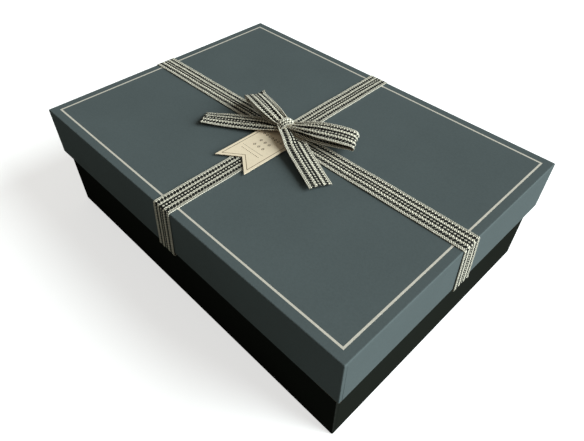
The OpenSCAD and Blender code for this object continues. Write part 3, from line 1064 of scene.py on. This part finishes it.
# the bow's strips, each as rows of x, y and height over the lid in mm, heading and tilt in degrees,
# and how far the ribbon is gathered and arched there
BOW_STRIPS = {
    "loop_left": (
        (-0.5, 0.2, 6.3, 170, 0, 1.60, 0.00),
        (-6.5, 0.4, 7.9, 172, 2, 1.25, 0.00),
        (-12.8, 0.4, 10.2, 171, 4, 0.85, 0.01),
        (-23.0, 2.3, 11.3, 166, 6, 0.38, 0.02),
        (-33.5, 5.4, 10.6, 162, 7, 0.20, 0.02),
        (-39.6, 7.5, 9.6, 160, 7, 0.10, 0.01),
        (-42.6, 9.1, 7.7, 160, 6, 0.05, 0.0),
        (-41.2, 9.4, 5.9, 160, 5, 0.05, 0.0),
        (-36.0, 8.4, 5.3, 161, 4, 0.10, 0.0),
        (-26.0, 5.6, 5.2, 164, 3, 0.35, 0.0),
        (-15.0, 2.6, 5.0, 168, 1, 0.90, 0.0),
        (-7.0, 1.2, 5.4, 170, 0, 1.55, 0.0),
        (-1.0, 0.6, 5.2, 170, 0, 1.75, 0.0),
    ),
    "loop_right": (
        (-3.0, -0.2, 6.4, 20, 0, 1.75, 0.00),
        (4.4, 2.0, 7.8, 22, 4, 1.60, 0.00),
        (11.0, 4.4, 9.2, 24, 7, 1.15, 0.00),
        (19.0, 7.7, 10.2, 25, 9, 0.60, 0.01),
        (27.5, 11.2, 10.7, 27, 10, 0.30, 0.01),
        (35.5, 14.6, 10.6, 30, 10, 0.15, 0.01),
        (41.2, 17.1, 9.7, 33, 9, 0.08, 0.0),
        (43.0, 18.0, 7.7, 36, 7, 0.05, 0.0),
        (41.2, 17.4, 5.9, 33, 6, 0.05, 0.0),
        (35.0, 14.6, 5.2, 27, 5, 0.10, 0.0),
        (25.0, 10.3, 5.0, 25, 3, 0.35, 0.0),
        (15.0, 6.0, 4.9, 22, 1, 0.95, 0.0),
        (6.0, 2.6, 5.0, 20, 0, 1.60, 0.0),
        (-1.0, 0.4, 5.2, 19, 0, 1.75, 0.0),
    ),
    "tail_left": (
        (-2.0, -0.5, 5.2, 205, 0, 1.75, 0.02),
        (-8.0, -4.6, 4.8, 207, 0, 1.45, 0.04),
        (-16.4, -7.4, 3.9, 209, -2, 0.70, 0.03),
        (-26.6, -12.7, 3.0, 211, -2, 0.28, 0.02),
        (-38.6, -19.8, 2.3, 212, 0, 0.12, 0.02),
        (-46.8, -25.2, 2.1, 212, 5, 0.10, 0.02),
        (-52.9, -29.3, 2.2, 212, 9, 0.06, 0.02),
    ),
    "tail_right": (
        (-3.0, 0.8, 5.6, -28, 0, 0.95, 0.0),
        (3.8, -1.9, 5.6, -28, 0, 0.45, 0.0),
        (14.2, -7.5, 4.9, -28, -2, 0.30, 0.01),
        (22.4, -11.3, 4.2, -27, -3, 0.22, 0.02),
        (32.0, -15.2, 3.3, -26, -4, 0.15, 0.02),
        (42.2, -19.4, 2.6, -26, -5, 0.10, 0.02),
        (52.2, -23.6, 2.2, -27, -5, 0.08, 0.02),
    ),
}


def stations(rows):
    """A strip's rows as places and directions across in metres, and its tilt, gather and arch."""
    line = smooth_line(rows)
    place = np.c_[line[:, 0], line[:, 1], line[:, 2]] * MM + np.array([0, 0, LID_TOP])
    turn = np.radians(line[:, 3])
    across = np.c_[-np.sin(turn), np.cos(turn), np.zeros(len(turn))]
    return place, across, line[:, 4], np.maximum(line[:, 5], 0), line[:, 6]


class GIFTBOX_OT_bow(bpy.types.Operator):
    """Two loops, two tails and the knot of the bow"""

    bl_idname = "giftbox.bow"
    bl_label = "Bow"

    def execute(self, context):
        size = ribbon()
        for strip, rows in BOW_STRIPS.items():
            part, side = strip.split("_")
            place, across, tilt, gather, arch = stations(rows)
            extra = {}
            if part == "tail":
                extra["fray"] = size.fray
            if strip == "tail_right":
                from_knot = np.r_[0, np.cumsum(np.linalg.norm(np.diff(place, axis=0), axis=1))]
                extra["crease"] = np.clip((size.pleat_end - from_knot) / (0.5 * size.pleat_end), 0, 1)
                extra["hold_edge"] = True
            nodes = [f"bow_{side}_{part}"]
            piece, cut = sweep(
                f"bow_{strip}", place, across, "lid", nodes, tilt=tilt, gather=gather, arch=arch, **extra
            )

        # the wrap goes once round the bundle and a little further, as an oval ring
        turn = math.radians(68)
        over = np.array([math.cos(turn), math.sin(turn), 0])
        middle = np.array([KNOT_X, KNOT_Y, LID_TOP + 5.6 * MM])
        half_wide, half_high = 5.0 * MM, 3.6 * MM
        angles = np.linspace(-0.55 * math.pi, 1.45 * math.pi + 0.15, 80)
        ring = middle + half_wide * np.outer(np.cos(angles), over)
        ring[:, 2] += half_high * np.sin(angles)
        bundle = (math.sin(turn), -math.cos(turn), 0)
        piece, cut = sweep(
            "bow_knot_wrap", ring[::-1], bundle, "lid", ["bow_knot"], gather=1.55, pleats=2.78, phase=math.pi
        )

        bm = bmesh.new()
        wide_end, narrow_end, rise = 2.2 * MM, 1.9 * MM, 4.0 * MM
        bmesh.ops.create_cone(
            bm, cap_ends=True, segments=36, radius1=wide_end, radius2=narrow_end, depth=rise
        )
        bmesh.ops.translate(bm, vec=(KNOT_X, KNOT_Y, LID_TOP + 3.25 * MM), verts=bm.verts)
        for vert in bm.verts:
            turn = math.atan2(vert.co.y - KNOT_Y, vert.co.x - KNOT_X)
            # drawn in by six folds
            pinch = 1 - 0.12 * (0.5 + 0.5 * math.cos(6 * turn))
            vert.co.x = KNOT_X + (vert.co.x - KNOT_X) * pinch
            vert.co.y = KNOT_Y + (vert.co.y - KNOT_Y) * pinch
        weave = bm.loops.layers.uv.new("weave")
        for face in bm.faces:
            for corner in face.loops:
                turn = math.atan2(corner.vert.co.y - KNOT_Y, corner.vert.co.x - KNOT_X)
                corner[weave].uv = (corner.vert.co.z, abs(turn) * wide_end)
        place_piece(bm, "bow_tie", ribbon_finish(), "lid")
        return {"FINISHED"}


class GIFTBOX_OT_tag(bpy.types.Operator):
    """Swallow-tailed card tag with a printed border and plain marks"""

    bl_idname = "giftbox.tag"
    bl_label = "Tag"

    def execute(self, context):
        size = context.scene.tag_sizes
        low, high = CARD_LOW, CARD_HIGH
        middle = (low.x + high.x) / 2
        bm = bmesh.new()
        notch = (middle, low.y + size.notch)
        outline = ((low.x, high.y), (low.x, low.y), notch, (high.x, low.y), (high.x, high.y))
        face = bm.faces.new([bm.verts.new((x, y, high.z)) for x, y in outline])
        bm.normal_update()
        step_face(bm, face, size.border_inset)
        step_face(bm, face, size.border_width)
        inner = set(face.verts)
        for f in bm.faces:
            beside = all(v in inner or any(e.other_vert(v) in inner for e in v.link_edges) for v in f.verts)
            if f is not face and beside:
                f.material_index = 1
        # the hole is joined to the inner face's outline
        hole = bmesh.ops.create_circle(bm, cap_ends=False, segments=40, radius=size.hole)["verts"]
        bmesh.ops.translate(bm, vec=(KNOT_X, KNOT_Y, high.z), verts=hole)
        rim = [e for e in bm.edges if all(v in hole for v in e.verts)]
        border = list(face.edges)
        bmesh.ops.delete(bm, geom=[face], context="FACES_ONLY")
        bmesh.ops.triangle_fill(
            bm, use_beauty=True, use_dissolve=False, edges=[*rim, *border], normal=(0, 0, 1)
        )
        bmesh.ops.recalc_face_normals(bm, faces=bm.faces)
        for f in bm.faces:
            if f.normal.z < 0:
                f.normal_flip()
        papers = [card_finish(), print_finish()]
        card = place_piece(bm, "tag", papers, "tag", ["tag_card"], smooth=False)
        thicken(card, high.z - low.z)

        bm = bmesh.new()

        def mark(x, y, breadth, depth, sides=4, turn=0.0, hollow=0.0):
            """A flat mark, at a place and of a size in mm from the hole."""
            made = bmesh.ops.create_circle(bm, cap_ends=True, segments=sides, radius=0.5)["verts"]
            if hollow:
                face = made[0].link_faces[0]
                step_face(bm, face, hollow)
                made = [*made, *face.verts]
                bmesh.ops.delete(bm, geom=[face], context="FACES_ONLY")
            bmesh.ops.rotate(bm, verts=made, cent=(0, 0, 0), matrix=Matrix.Rotation(turn, 3, "Z"))
            bmesh.ops.scale(bm, vec=(breadth * MM, depth * MM, 1), verts=made)
            place = (KNOT_X + x * MM, KNOT_Y + y * MM, high.z + 0.012 * MM)
            bmesh.ops.translate(bm, vec=place, verts=made)

        # three rows of hollow diamonds, a rule and a row of dots
        for y, start, end, count in ((-11.9, -8.2, 7.4, 7), (-18.7, -4.2, 3.4, 3), (-24.3, -4.2, 3.6, 3)):
            for i in range(count):
                x = start + (end - start) * i / (count - 1)
                mark(x, y, 2.1, 2.6, hollow=0.18)
        mark(-0.4, -29.3, 18.5 * 1.414, 0.28, turn=math.pi / 4)
        for x in np.linspace(-7.4, 7.8, 12):
            mark(x, -32.2, 0.8, 0.7, sides=6)
        place_piece(bm, "tag_marks", print_finish(), "tag", smooth=False)
        return {"FINISHED"}


OPERATORS = (
    GIFTBOX_OT_stage,
    GIFTBOX_OT_boards,
    GIFTBOX_OT_base_paper,
    GIFTBOX_OT_lid_paper,
    GIFTBOX_OT_foil,
    GIFTBOX_OT_bands,
    GIFTBOX_OT_bow,
    GIFTBOX_OT_tag,
)


class GIFTBOX_PT_panel(bpy.types.Panel):
    """Lists the pieces of the gift box and their sizes"""

    bl_idname = "GIFTBOX_PT_panel"
    bl_label = "Gift Box"
    bl_space_type = "VIEW_3D"
    bl_region_type = "UI"
    bl_category = "Gift Box"

    def draw(self, context):
        layout = self.layout
        for operator in OPERATORS:
            layout.operator(operator.bl_idname)
        for group in GROUPS:
            settings = getattr(context.scene, group)
            box = layout.box()
            for name in settings.__annotations__:
                box.prop(settings, name)


GROUPS = {
    "box_sizes": BoxSizes,
    "ribbon_sizes": RibbonSizes,
    "tag_sizes": TagSizes,
    "box_colours": BoxColours,
}
CLASSES = (*GROUPS.values(), *OPERATORS, GIFTBOX_PT_panel)


def register():
    for each in CLASSES:
        bpy.utils.register_class(each)
    for name, group in GROUPS.items():
        setattr(bpy.types.Scene, name, PointerProperty(type=group))


def unregister():
    for name in GROUPS:
        delattr(bpy.types.Scene, name)
    for each in reversed(CLASSES):
        bpy.utils.unregister_class(each)


def main():
    register()
    for operator in OPERATORS:
        getattr(bpy.ops.giftbox, operator.bl_idname.split(".")[1])()


if __name__ == "__main__":
    main()
